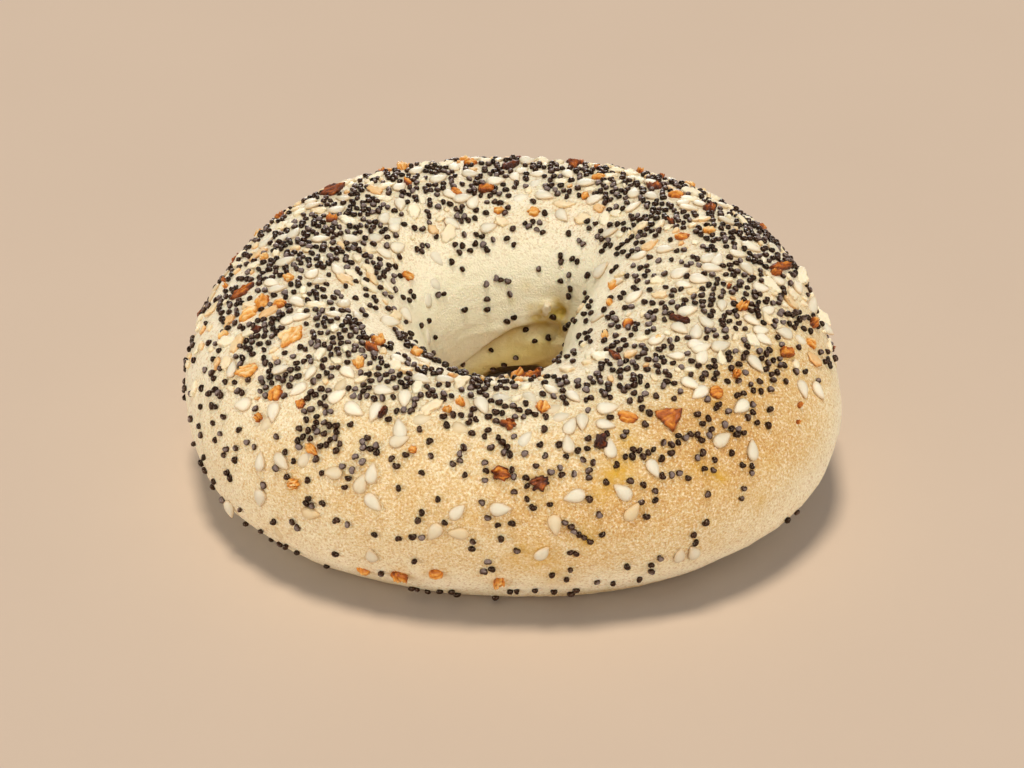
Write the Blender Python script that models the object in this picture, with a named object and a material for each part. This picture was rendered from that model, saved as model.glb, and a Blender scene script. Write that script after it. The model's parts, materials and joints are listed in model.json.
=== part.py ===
# An everything bagel: one boiled and baked ring of dough, with its onion and garlic flakes, sesame seeds
# and poppy seeds fused on. Metres, +Z up. The origin is on the table, under the middle of the bagel.
# Ring angles run round the hole from +X, and tube angles run round the dough from its outermost line
# over the crown and down into the hole. Named angles are in degrees.
import math
import random

import bmesh
import bpy
from mathutils import Matrix, Vector
from mathutils.bvhtree import BVHTree

MM = 0.001

# Dough ring: middle sizes, each with its waves as (waves round the ring, size, ring angle of a crest)
OUTER_RADIUS = 51.0 * MM
OUTER_WAVES = [(1, 1.2 * MM, -110), (2, 0.9 * MM, -30), (3, 1.5 * MM, -32)]
HOLE_RADIUS = 13.0 * MM
HOLE_WAVES = [(1, 2.0 * MM, -136), (2, 1.8 * MM, 77), (3, 1.6 * MM, 29)]
CROWN_HEIGHT = 33.0 * MM
CROWN_WAVES = [(1, 1.4 * MM, 6), (2, 1.5 * MM, 5), (3, 0.6 * MM, 0)]
BELT_HEIGHT = 14.5 * MM  # level of the widest line
WAIST_HEIGHT = 14.5 * MM  # level of the narrowest line of the hole
WAIST_WAVES = [(1, 4.0 * MM, -10), (2, 1.2 * MM, -49)]
BASE_SINK = 2.9 * MM  # how much of the round underside is pressed flat
RING_SHIFT = (0.55 * MM, -0.7 * MM)

# Crease in the far wall of the hole, climbing past its bend, with a roll of dough under it
CREASE_RING, CREASE_TUBE = 90, 184
CREASE_REACH, CREASE_FADE = 36, 4
CREASE_BEND, CREASE_EASE, CREASE_SLOPE = 93, 8, 0.85
CREASE_DEPTH, CREASE_WIDTH = 1.5 * MM, 6.0
ROLL_HEIGHT, ROLL_WIDTH, ROLL_OFFSET = 1.5 * MM, 15, 22

# Pit over the end of the crease
PIT_RING, PIT_TUBE, PIT_DEPTH = 62, 168, 1.5 * MM
PIT_RING_WIDTH, PIT_TUBE_WIDTH = 14, 9

# Faces of the dough round the ring and round the tube, closer together inside the hole
RING_FACES = 68
TUBE_FACES = 28
HOLE_CROWDING = 0.25

# Toppings: their own sizes, how many, and the room that each takes
FLAKE = {"length": 3.6 * MM, "width": 2.6 * MM, "thickness": 1.0 * MM, "count": 26, "room": 4.5 * MM}
SESAME = {"length": 3.1 * MM, "width": 1.9 * MM, "thickness": 0.95 * MM, "count": 66, "room": 3.4 * MM}
POPPY = {"length": 1.5 * MM, "width": 1.3 * MM, "thickness": 1.3 * MM, "count": 94, "room": 2.0 * MM}
FLAKE_CORNERS = 6
FLAKE_REACH = (0.72, 1.1)  # how far a flake's corners stand out
FLAKE_BEVEL = 0.84  # top face of a flake, as a share of its lower face
SESAME_TAPER = 0.3
SUNK_SHARE = 0.32  # of a topping's thickness, below the skin
SIZE_SPREAD = 0.18
MOST_TILT = 6
LOWEST_TOPPING = 4.0 * MM
SEED = 7

# The largest flakes, placed by hand: ring angle, tube angle, length, width, turn
LARGE_FLAKES = [
    (184, 60, 2.8 * MM, 2.2 * MM, 20),
    (194, 69, 3.4 * MM, 2.4 * MM, 70),
    (210, 72, 4.2 * MM, 3.4 * MM, 130),
    (210, 48, 3.8 * MM, 2.6 * MM, 10),
    (136, 60, 4.0 * MM, 2.8 * MM, 100),
    (154, 135, 3.0 * MM, 2.0 * MM, 90),
    (272, 108, 3.4 * MM, 2.0 * MM, 60),
    (275, 97, 2.8 * MM, 2.0 * MM, 160),
    (302, 54, 4.4 * MM, 3.3 * MM, 40),
    (267, 39, 3.0 * MM, 2.2 * MM, 0),
    (274, 33, 2.8 * MM, 2.4 * MM, 110),
    (358, 54, 4.6 * MM, 2.2 * MM, 80),
    (292, 60, 2.8 * MM, 2.2 * MM, 30),
    (33, 81, 3.0 * MM, 2.2 * MM, 50),
    (90, 78, 3.4 * MM, 2.4 * MM, 90),
    (268, 63, 2.8 * MM, 2.2 * MM, 145),
]


def wave(ring, terms):
    return sum(size * math.cos(count * (ring - math.radians(crest))) for count, size, crest in terms)


def bell(offset, width):
    return math.exp(-((offset / width) ** 2))


def skin_relief(ring, tube):
    """How far the skin stands out (+) or is drawn in (-) at these angles, in degrees."""
    climb = CREASE_EASE * math.log(1 + math.exp((ring - CREASE_BEND) / CREASE_EASE))
    across = tube - CREASE_TUBE - CREASE_SLOPE * climb
    along = 1 / (1 + math.exp((abs(ring - CREASE_RING) - CREASE_REACH) / CREASE_FADE))
    crease = -CREASE_DEPTH * bell(across, CREASE_WIDTH)
    roll = ROLL_HEIGHT * bell(across - ROLL_OFFSET, ROLL_WIDTH)
    pit = -PIT_DEPTH * bell(ring - PIT_RING, PIT_RING_WIDTH) * bell(tube - PIT_TUBE, PIT_TUBE_WIDTH)
    return (crease + roll) * along + pit


def dough_point(ring, tube):
    """The point of the skin at a ring angle and a tube angle, in radians."""
    outer = OUTER_RADIUS + wave(ring, OUTER_WAVES)
    hole = HOLE_RADIUS + wave(ring, HOLE_WAVES)
    crown = CROWN_HEIGHT + wave(ring, CROWN_WAVES)
    out, up = math.cos(tube), math.sin(tube)
    level = BELT_HEIGHT if out > 0 else WAIST_HEIGHT + wave(ring, WAIST_WAVES)
    height = level + (crown - level if up > 0 else level + BASE_SINK) * up
    relief = skin_relief(math.degrees(ring) % 360, math.degrees(tube) % 360)
    radius = (outer + hole) / 2 + ((outer - hole) / 2 + relief) * out
    return Vector((
        radius * math.cos(ring) + RING_SHIFT[0],
        radius * math.sin(ring) + RING_SHIFT[1],
        max(height + relief * up, 0.0),
    ))


def skin_normal(ring, tube):
    step = math.radians(1)
    along_ring = dough_point(ring + step, tube) - dough_point(ring - step, tube)
    round_tube = dough_point(ring, tube + step) - dough_point(ring, tube - step)
    return along_ring.cross(round_tube).normalized()


def food_material(name, colour, roughness):
    material = bpy.data.materials.new(name)
    material.use_nodes = True
    shader = material.node_tree.nodes["Principled BSDF"]
    shader.inputs["Base Color"].default_value = (*colour, 1)
    shader.inputs["Roughness"].default_value = roughness
    shader.inputs["Metallic"].default_value = 0
    return material


def mesh_of(bm, name, material):
    mesh = bpy.data.meshes.new(name)
    bm.to_mesh(mesh)
    bm.free()
    mesh.materials.append(material)
    return mesh


def dough_mesh(material):
    """A circle spun into a plain ring, then each of its points moved onto the dough's skin."""
    ring_radius, tube_radius = 30 * MM, 10 * MM
    upright = Matrix.Translation((ring_radius, 0, 0)) @ Matrix.Rotation(math.radians(90), 4, "X")
    bm = bmesh.new()
    bmesh.ops.create_circle(bm, segments=TUBE_FACES, radius=tube_radius, matrix=upright)
    bmesh.ops.spin(
        bm, geom=bm.verts[:] + bm.edges[:], axis=(0, 0, 1), cent=(0, 0, 0),
        steps=RING_FACES, angle=math.tau, use_merge=True,
    )
    for vert in bm.verts:
        x, y, z = vert.co
        ring = math.atan2(y, x)
        tube = math.atan2(z, math.hypot(x, y) - ring_radius)
        vert.co = dough_point(ring, tube + HOLE_CROWDING * math.sin(tube))
    bmesh.ops.recalc_face_normals(bm, faces=bm.faces)
    return mesh_of(bm, "bagel", material)


def seed_mesh(name, kind, taper, material):
    """A rounded seed lying along X, narrower towards +X by its taper."""
    bm = bmesh.new()
    bmesh.ops.create_icosphere(bm, subdivisions=1, radius=0.5)
    for vert in bm.verts:
        vert.co.y *= 1 - taper * 2 * vert.co.x
    bmesh.ops.scale(bm, vec=(kind["length"], kind["width"], kind["thickness"]), verts=bm.verts)
    return mesh_of(bm, name, material)


def flake_mesh(length, width, material, draw):
    """An uneven chip: a flat prism with its corners moved in and out."""
    bm = bmesh.new()
    bmesh.ops.create_cone(
        bm, cap_ends=True, segments=FLAKE_CORNERS, radius1=0.5, radius2=0.5 * FLAKE_BEVEL, depth=1,
    )
    reach = [draw.uniform(*FLAKE_REACH) for corner in range(FLAKE_CORNERS)]
    for vert in bm.verts:
        corner = round(math.atan2(vert.co.y, vert.co.x) / math.tau * FLAKE_CORNERS) % FLAKE_CORNERS
        vert.co.xy = vert.co.xy * reach[corner]
    bmesh.ops.scale(bm, vec=(length, width, FLAKE["thickness"]), verts=bm.verts)
    return mesh_of(bm, "flake", material)


def topping_share(ring, tube):
    """How thickly toppings lie at these angles, from 0 to 1: most on the crown, fewest low in front."""
    up = math.sin(tube)
    if math.cos(tube) < 0:
        return max(0.05, 0.9 * up - 0.2)
    low_front = bell(math.degrees(ring) % 360 - 300, 55) * (1 - up)
    return max(0.03, min(1.0, 0.42 + 0.75 * up) - 0.5 * low_front)


def find_places(kind, taken, draw):
    """Random ring and tube angles by topping_share, each clear of those taken before."""
    places = []
    while len(places) < kind["count"]:
        ring, tube = draw.uniform(0, math.tau), math.radians(draw.uniform(-35, 205))
        point = dough_point(ring, tube)
        share = topping_share(ring, tube) * math.hypot(point.x, point.y) / OUTER_RADIUS
        if draw.random() > share or point.z < LOWEST_TOPPING:
            continue
        if all((point - other).length > (kind["room"] + room) / 2 for other, room in taken):
            taken.append((point, kind["room"]))
            places.append((ring, tube))
    return places


def lay_topping(mesh, thickness, place, turn, skin, draw):
    """One topping lying on the faceted skin, sunk into it by its share and tilted a little."""
    seat = skin.find_nearest(dough_point(*place))[0]
    normal = skin_normal(*place)
    lying = normal.to_track_quat("Z", "Y").to_matrix().to_4x4()
    turned = Matrix.Rotation(turn, 4, "Z") @ Matrix.Rotation(
        math.radians(draw.uniform(-MOST_TILT, MOST_TILT)), 4, "X"
    )
    lift = thickness * (0.5 - SUNK_SHARE)
    topping = bpy.data.objects.new(mesh.name, mesh)
    topping.matrix_world = Matrix.Translation(seat + normal * lift) @ lying @ turned
    return topping


def make_toppings(skin, draw):
    """All toppings as loose objects: the large flakes first, then the rest by size."""
    onion = food_material("toasted onion", (0.55, 0.25, 0.07), 0.5)
    sesame = seed_mesh("sesame", SESAME, SESAME_TAPER, food_material("sesame", (0.85, 0.70, 0.45), 0.5))
    poppy = seed_mesh("poppy", POPPY, 0.0, food_material("poppy", (0.03, 0.03, 0.04), 0.45))
    toppings = []
    taken = []
    for ring, tube, length, width, turn in LARGE_FLAKES:
        place = math.radians(ring), math.radians(tube)
        taken.append((dough_point(*place), length))
        mesh = flake_mesh(length, width, onion, draw)
        toppings.append(lay_topping(mesh, FLAKE["thickness"], place, math.radians(turn), skin, draw))
    for place in find_places(FLAKE, taken, draw):
        size = draw.uniform(1 - SIZE_SPREAD, 1 + SIZE_SPREAD)
        mesh = flake_mesh(FLAKE["length"] * size, FLAKE["width"] * size, onion, draw)
        turn = draw.uniform(0, math.tau)
        toppings.append(lay_topping(mesh, FLAKE["thickness"], place, turn, skin, draw))
    for kind, mesh in ((SESAME, sesame), (POPPY, poppy)):
        for place in find_places(kind, taken, draw):
            turn = draw.uniform(0, math.tau)
            topping = lay_topping(mesh, kind["thickness"], place, turn, skin, draw)
            topping.scale *= draw.uniform(1 - SIZE_SPREAD, 1 + SIZE_SPREAD)
            toppings.append(topping)
    return toppings


def fuse(body, toppings):
    """Joins the toppings to the body by one Boolean union, applied, and removes them."""
    heap = bpy.data.collections.new("toppings")
    bpy.context.scene.collection.children.link(heap)
    for topping in toppings:
        heap.objects.link(topping)
    join = body.modifiers.new("fuse toppings", "BOOLEAN")
    join.operation = "UNION"
    join.solver = "MANIFOLD"
    join.operand_type = "COLLECTION"
    join.collection = heap
    with bpy.context.temp_override(object=body):
        bpy.ops.object.modifier_apply(modifier=join.name)
    for topping in toppings:
        bpy.data.objects.remove(topping)
    bpy.data.collections.remove(heap)


def main():
    for obj in list(bpy.data.objects):
        bpy.data.objects.remove(obj)
    bagel = bpy.data.objects.new("bagel", dough_mesh(food_material("baked dough", (0.72, 0.50, 0.25), 0.6)))
    bpy.context.scene.collection.objects.link(bagel)

    ring = bmesh.new()
    ring.from_mesh(bagel.data)
    skin = BVHTree.FromBMesh(ring)
    ring.free()
    fuse(bagel, make_toppings(skin, random.Random(SEED)))
    bagel.data.shade_smooth()
    bagel.data.set_sharp_from_angle(angle=math.radians(35))


main()
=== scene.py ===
import json
import math
import random

import bmesh
import bpy
from mathutils import Matrix, Vector, noise
from mathutils.bvhtree import BVHTree
from mathutils.kdtree import KDTree

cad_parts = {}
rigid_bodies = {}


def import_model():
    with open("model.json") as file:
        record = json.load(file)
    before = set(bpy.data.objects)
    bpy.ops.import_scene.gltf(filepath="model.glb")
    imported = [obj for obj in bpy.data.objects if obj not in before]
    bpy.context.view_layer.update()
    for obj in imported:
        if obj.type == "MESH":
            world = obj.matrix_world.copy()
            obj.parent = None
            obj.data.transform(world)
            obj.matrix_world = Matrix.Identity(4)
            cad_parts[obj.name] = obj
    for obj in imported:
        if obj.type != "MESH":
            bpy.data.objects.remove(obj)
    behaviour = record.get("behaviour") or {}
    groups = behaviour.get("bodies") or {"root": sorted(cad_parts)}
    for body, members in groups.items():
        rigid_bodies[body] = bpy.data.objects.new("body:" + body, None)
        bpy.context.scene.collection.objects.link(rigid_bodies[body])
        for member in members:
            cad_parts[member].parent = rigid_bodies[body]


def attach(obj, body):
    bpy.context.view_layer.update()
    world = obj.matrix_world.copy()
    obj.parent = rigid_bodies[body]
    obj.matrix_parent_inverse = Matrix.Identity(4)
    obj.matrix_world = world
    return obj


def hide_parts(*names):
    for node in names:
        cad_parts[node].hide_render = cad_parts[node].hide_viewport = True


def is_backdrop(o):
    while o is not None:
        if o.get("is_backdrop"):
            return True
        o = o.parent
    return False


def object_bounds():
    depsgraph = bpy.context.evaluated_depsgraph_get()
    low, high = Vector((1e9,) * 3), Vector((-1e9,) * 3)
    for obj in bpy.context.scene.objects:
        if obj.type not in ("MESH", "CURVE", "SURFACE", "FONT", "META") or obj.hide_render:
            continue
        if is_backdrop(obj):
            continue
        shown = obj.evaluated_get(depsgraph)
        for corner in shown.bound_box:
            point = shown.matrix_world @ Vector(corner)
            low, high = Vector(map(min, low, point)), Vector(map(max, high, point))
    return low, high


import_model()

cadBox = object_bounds()
mm = 0.001

# Sizes are in millimetres and angles in degrees. Ring angles run round the hole from +X. Tube angles run
# round the dough from its outermost line, over the crown and down into the hole. Photo places are pixels
# of the 1024 x 768 picture, and a turn in the photo is counted anticlockwise from level, to the right.


# Camera
view = {
    "width": 1024,
    "height": 768,
    "elevation": 33.5,
    "distance": 400,
    "target": (0.55, -2.2, 11.2),
    "lens": 87,
    "sensor": 36,
}

tilt = math.radians(view["elevation"])
viewBack = Vector((0, -math.cos(tilt), math.sin(tilt)))  # from the bagel to the camera
viewUp = Vector((0, math.sin(tilt), math.cos(tilt)))
viewRight = Vector((1, 0, 0))
eye = Vector(view["target"]) * mm + viewBack * view["distance"] * mm
focal = view["lens"] / view["sensor"] * view["width"]  # in pixels


def makeCamera():
    data = bpy.data.cameras.new("camera")
    data.lens = view["lens"]
    data.sensor_width = view["sensor"]
    data.clip_start = 0.01
    camera = bpy.data.objects.new("camera", data)
    bpy.context.scene.collection.objects.link(camera)
    camera.location = eye
    camera.rotation_euler = (math.radians(90) - tilt, 0, 0)
    bpy.context.scene.camera = camera


# The direction from the camera through a photo place
def pixelRay(x, y):
    ray = viewRight * (x - view["width"] / 2) - viewUp * (y - view["height"] / 2) - viewBack * focal
    return ray.normalized()


# Where the photo shows a point
def photoPlace(point):
    away = point - eye
    scale = focal / -away.dot(viewBack)
    return view["width"] / 2 + away.dot(viewRight) * scale, view["height"] / 2 - away.dot(viewUp) * scale


makeCamera()
print("camera made")


# Helpers
def cosine(angle):
    return math.cos(math.radians(angle))


def sine(angle):
    return math.sin(math.radians(angle))


# A hump of height 1, and a soft step from 0 to 1
def bell(offset, width):
    return math.exp(-((offset / width) ** 2))


def smooth(value):
    value = max(0.0, min(1.0, value))
    return value * value * (3 - 2 * value)


# The turn from one angle to another, from -180 to 180
def turnFrom(angle, other):
    return (angle - other + 180) % 360 - 180


# Patches are (ring, tube, ring width, tube width, amount)
def patchSum(ring, tube, patches):
    return sum(
        amount * bell(turnFrom(ring, atRing), ringWidth) * bell(turnFrom(tube, atTube), tubeWidth)
        for atRing, atTube, ringWidth, tubeWidth, amount in patches
    )


def addObject(name, mesh, material):
    mesh.materials.append(material)
    mesh.shade_smooth()
    piece = bpy.data.objects.new(name, mesh)
    bpy.context.scene.collection.objects.link(piece)
    return piece


def addValues(mesh, name, values):
    layer = mesh.attributes.new(name, "FLOAT", "POINT")
    layer.data.foreach_set("value", values)


def newMaterial(name):
    material = bpy.data.materials.new(name)
    material.use_nodes = True
    return material, material.node_tree, material.node_tree.nodes["Principled BSDF"]


def addNode(tree, kind, **settings):
    added = tree.nodes.new("ShaderNode" + kind)
    for key, value in settings.items():
        setattr(added, key, value)
    return added


# A cloudy pattern in the piece's own space, with its grains about this many millimetres across
def noiseTexture(tree, size, detail=3.0, roughness=0.55):
    place = addNode(tree, "TexCoord")
    texture = addNode(tree, "TexNoise")
    texture.inputs["Scale"].default_value = 1 / (size * mm)
    texture.inputs["Detail"].default_value = detail
    texture.inputs["Roughness"].default_value = roughness
    tree.links.new(place.outputs["Object"], texture.inputs["Vector"])
    return texture.outputs["Fac"]


def attributeValue(tree, name):
    return addNode(tree, "Attribute", attribute_name=name).outputs["Fac"]


# Stops are (value, colour) or (value, grey)
def ramp(tree, value, stops):
    added = addNode(tree, "ValToRGB")
    points = added.color_ramp.elements
    while len(points) < len(stops):
        points.new(1.0)
    for point, (at, colour) in zip(points, stops):
        point.position = at
        point.color = (*colour, 1) if isinstance(colour, tuple) else (colour, colour, colour, 1)
    tree.links.new(value, added.inputs["Fac"])
    return added.outputs["Color"]


def math2(tree, operation, first, second):
    added = addNode(tree, "Math", operation=operation)
    for socket, value in zip(added.inputs, (first, second)):
        if isinstance(value, (int, float)):
            socket.default_value = value
        else:
            tree.links.new(value, socket)
    return added.outputs["Value"]


# A Mix node has its colours at inputs 6 and 7 and gives a colour at output 2
def mixColour(tree, factor, first, second):
    added = addNode(tree, "Mix", data_type="RGBA")
    tree.links.new(factor, added.inputs[0])
    for socket, value in ((added.inputs[6], first), (added.inputs[7], second)):
        if isinstance(value, tuple):
            socket.default_value = (*value, 1)
        else:
            tree.links.new(value, socket)
    return added.outputs[2]


# Layers are (height, strength, depth in millimetres)
def bump(tree, shader, layers):
    last = None
    for height, strength, depth in layers:
        added = addNode(tree, "Bump")
        added.inputs["Strength"].default_value = strength
        added.inputs["Distance"].default_value = depth * mm
        tree.links.new(height, added.inputs["Height"])
        if last:
            tree.links.new(last, added.inputs["Normal"])
        last = added.outputs["Normal"]
    tree.links.new(last, shader.inputs["Normal"])


# A colour as a paint program shows it, from 0 to 255, in the numbers that a shader takes
def srgb(*parts):
    return tuple(((part / 255 + 0.055) / 1.055) ** 2.4 for part in parts)


# A value moved up and down by a pattern, round its middle
def stirred(tree, value, pattern, amount):
    offset = math2(tree, "MULTIPLY", math2(tree, "SUBTRACT", pattern, 0.5), amount)
    return math2(tree, "ADD", value, offset)


# Under the skin, light spreads through this many millimetres, by these shares for red, green and blue
def setSurface(tree, shader, colour, roughness, specular=0.5, shine=None, under=0.0, depth=0.0, spread=None):
    tree.links.new(colour, shader.inputs["Base Color"])
    shader.inputs["Roughness"].default_value = roughness
    shader.inputs["Specular IOR Level"].default_value = specular
    if shine:
        shader.inputs["Specular Tint"].default_value = (*shine, 1)
    if under:
        shader.inputs["Subsurface Weight"].default_value = under
        shader.inputs["Subsurface Radius"].default_value = spread
        shader.inputs["Subsurface Scale"].default_value = depth * mm


# Dough
dough = {
    "outerRadius": 51.25,
    "outerWaves": [(1, 1.2, -110), (2, 0.9, -30), (3, 1.5, -32), (4, 0.7, 45)],
    "holeRadius": 13.0,
    "holeWaves": [(1, 2.0, -136), (2, 1.8, 77), (3, 1.6, 29)],
    "crownHeight": 33.0,
    "crownWaves": [(1, 1.4, 6), (2, 1.5, 5), (3, 0.6, 0)],
    "beltHeight": 14.5,
    "waistHeight": 14.5,
    "waistWaves": [(1, 4.0, -10), (2, 1.2, -49)],
    "baseSink": 2.9,
    "shift": (0.55, -0.7),
    "creaseRing": 90,
    "creaseTube": 184,
    "creaseReach": 36,
    "creaseFade": 4,
    "creaseBend": 93,
    "creaseEase": 8,
    "creaseSlope": 0.85,
    "creaseDepth": 2.0,
    "creaseWidth": 4.6,
    "rollHeight": 1.5,
    "rollWidth": 15,
    "rollOffset": 22,
    "folds": [  # ring, tube, ring width, tube width, height
        (58, 169, 14, 10, -0.9), (55, 174, 5, 3.2, -1.3), (72, 177, 4.5, 2.2, -1.0), (65, 171, 4.5, 3, 0.8),
        (80, 181, 8, 3, 0.4), (86, 195, 13, 2.4, -0.5), (58, 189, 12, 2.6, -0.45), (104, 181, 12, 4, 0.35),
        (88, 215, 24, 6, -1.2), (268, 118, 26, 17, -1.5), (340, 8, 16, 20, 1.0), (326, -18, 13, 13, 0.8),
        (211, -20, 12, 14, 0.5), (12, 48, 14, 16, 0.6), (146, 56, 16, 16, 0.4),
    ],
    "ringFaces": 424,
    "tubeFaces": 216,
    "holeCrowding": 0.2,
    "lumpSize": 13,
    "lumpHeight": 0.3,
    "smallLumpSize": 0.35,  # of the lumps on the lumps, in their size and height
    "smallLumpHeight": 0.4,
    "blisterSize": 1.5,
    "blisterHeight": 0.22,
    "blisterLevel": 0.25,
    "wrinkleHeight": 0.13,  # wrinkles in the hole, and their spacing in ring and tube degrees
    "wrinkleRing": 14,
    "wrinkleTube": 3.2,
}


# The sum of waves round the ring, each given as how many, their size and the angle of a crest
def wave(ring, terms):
    return sum(size * cosine(count * (ring - crest)) for count, size, crest in terms)


# How far across the hole's crease this place lies, in degrees, and how much of the crease is there
def creaseAt(ring, tube):
    ease = dough["creaseEase"]
    climb = ease * math.log(1 + math.exp((ring - dough["creaseBend"]) / ease))
    across = tube - dough["creaseTube"] - dough["creaseSlope"] * climb
    reach = (abs(ring - dough["creaseRing"]) - dough["creaseReach"]) / dough["creaseFade"]
    return across, 1 / (1 + math.exp(reach))


def skinRelief(ring, tube):
    across, along = creaseAt(ring, tube)
    crease = -dough["creaseDepth"] * bell(across, dough["creaseWidth"])
    roll = dough["rollHeight"] * bell(across - dough["rollOffset"], dough["rollWidth"])
    return (crease + roll) * along + patchSum(ring, tube, dough["folds"])


# Lumps everywhere, blisters outside and wrinkles in the hole
def fineRelief(point, ring, tube):
    inHole = smooth(-cosine(tube) * 2 - 0.6)
    lumps = dough["lumpHeight"] * noise.noise(point / dough["lumpSize"])
    smallLump = noise.noise(point / (dough["smallLumpSize"] * dough["lumpSize"]))
    lumps += dough["smallLumpHeight"] * dough["lumpHeight"] * smallLump
    blister = max(0.0, noise.noise(point / dough["blisterSize"]) - dough["blisterLevel"])
    wrinkle = noise.noise(Vector((ring / dough["wrinkleRing"], tube / dough["wrinkleTube"], 5.0)))
    return lumps + blister * dough["blisterHeight"] * (1 - inHole) + dough["wrinkleHeight"] * wrinkle * inHole


# The finished surface of the dough, in metres
def skinPoint(ring, tube):
    ring, tube = ring % 360, tube % 360
    outer = dough["outerRadius"] + wave(ring, dough["outerWaves"])
    hole = dough["holeRadius"] + wave(ring, dough["holeWaves"])
    crown = dough["crownHeight"] + wave(ring, dough["crownWaves"])
    out, up = cosine(tube), sine(tube)
    level = dough["beltHeight"] if out > 0 else dough["waistHeight"] + wave(ring, dough["waistWaves"])
    height = level + (crown - level if up > 0 else level + dough["baseSink"]) * up
    relief = skinRelief(ring, tube)
    radius = (outer + hole) / 2 + ((outer - hole) / 2 + relief) * out
    along = Vector((cosine(ring), sine(ring), 0))
    plain = along * radius + Vector((*dough["shift"], height + relief * up))
    point = plain + (along * out + Vector((0, 0, up))) * fineRelief(plain, ring, tube)
    point.z = max(point.z, 0.0)
    return point * mm


toast = {
    "seed": 7,
    "level": 0.2,
    "base": 0.8,  # right at the bottom, up to the base's height
    "baseHeight": 1.2,
    "bands": [  # ring, tube, ring width, tube width, how much browner (+) or paler (-)
        (285, 20, 42, 30, 0.58), (228, 20, 25, 30, 0.25), (318, 36, 24, 18, 0.36), (308, 56, 24, 16, 0.42),
        (252, 54, 22, 14, 0.26), (348, 40, 14, 16, 0.2), (90, 50, 90, 16, -0.22), (8, 50, 18, 16, -0.16),
        (300, 72, 42, 22, 0.12), (345, 38, 16, 18, 0.1), (165, 40, 16, 34, -0.14), (276, -10, 26, 8, 0.2),
        # The band at ring 285, tube -32 is painted light, paler low at the front where less light falls
        (285, -32, 60, 10, -0.24), (328, 14, 14, 14, 0.2), (193, 20, 22, 55, -0.2),
        (341, -2, 20, 24, -0.34), (90, 160, 400, 30, -0.14), (292, -45, 24, 4, 0.45),
        (250, -42, 30, 5, 0.12),
    ],
    "holeStart": 0.56,  # the hole is paler from where its skin faces this far inward, partly paler dough and partly painted light against its shade
    "holeGain": 2.4,
    "deepFade": 20,  # beyond the crease it is painted yellower and lighter, a painted warm light in the shade of the hole, up to the last tube angle
    "deepStart": 0.3,
    "deepEnd": 260,
    # The crease line and the cleft at the foot of the hole's wall are painted shade
    "creaseWidth": 2.6,
    "creaseShade": 0.75,
    "cleft": (205, 73, 0.37, 88, 24),  # painted shade at the foot of the wall: tube angle at this ring, slope, middle, width
    "cleftTubes": (100, 250),
    "cleftFade": 3,
    "cleftShade": 1.5,
    "stainWidth": 0.38,  # width and reach of each golden mark's colour, in its size, and how uneven its edge is
    "stainReach": 0.8,
    "stainUneven": 0.6,
    "stainGrain": 1.3,
    "strongest": 0.9,
    "strayStains": 34,
    "strayTubes": (-30, 130),
    "straySizes": (1.5, 4.5),
    "strayStrengths": (0.1, 0.4),
    # Golden stains on the crust; those at the recess beside the knob and low in the hole are painted shade
    "stainsAndShade": [  # photo place, millimetres across, strength
        (620, 474, 6.0, 0.95), (628, 441, 4.5, 0.6), (586, 539, 4.5, 0.9), (601, 493, 4.5, 0.55),
        (697, 469, 4.0, 0.45), (721, 479, 3.4, 0.9), (712, 475, 2.4, 0.4), (761, 499, 4.0, 0.35),
        (557, 313, 6.5, 0.95), (538, 317, 4.5, 0.9), (564, 312, 4.0, 0.9), (249, 376, 4.5, 0.75),
        (401, 575, 4.5, 0.8), (437, 574, 3.6, 0.7), (499, 582, 3.6, 0.75), (785, 354, 4.5, 0.8),
        (364, 571, 3.2, 0.75), (295, 485, 3.4, 0.6), (525, 285, 2.2, 0.35), (511, 300, 2.0, 0.3),
        (540, 483, 4.0, 0.45), (500, 476, 4.0, 0.4), (716, 396, 3.4, 0.45), (453, 258, 2.0, 0.4),
        (560, 328, 4.0, 0.5), (548, 345, 5.0, 0.45), (515, 333, 5.0, 0.4), (495, 345, 5.0, 0.35),
        (525, 352, 7.0, 0.3), (520, 560, 6.0, 0.3), (560, 580, 8.0, 0.35), (540, 557, 6.0, 0.6),
        (525, 548, 4.0, 0.3),
    ],
}


# How brown the dough is baked, with a paler band of painted light low at the front
def toastAt(ring, tube, height):
    tube = turnFrom(tube, 90) + 90  # from -90 to 270
    value = toast["level"] + patchSum(ring, tube, toast["bands"])
    low = smooth((toast["baseHeight"] - height / mm) / toast["baseHeight"])
    return value + (toast["base"] - value) * low


# How much painted warm light the deep, shaded part of the hole takes beyond its crease
def deepAt(ring, tube):
    across, along = creaseAt(ring, tube)
    return along * smooth(across / toast["deepFade"] + toast["deepStart"]) * (tube < toast["deepEnd"])


# Painted shade: how dark the crease and the cleft at the foot of the wall are painted, where shade falls in
# the hole
def paintedCreaseShade(ring, tube):
    across, along = creaseAt(ring, tube)
    edge, edgeRing, slope, middle, width = toast["cleft"]
    first, last = toast["cleftTubes"]
    inCleft = smooth((tube - edge - slope * (ring - edgeRing)) / toast["cleftFade"] + 0.5)
    inCleft *= bell(turnFrom(ring, middle), width) * (first < tube < last)
    inCrease = toast["creaseShade"] * along * bell(across, toast["creaseWidth"])
    return max(inCrease, min(1.0, toast["cleftShade"] * inCleft))


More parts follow.
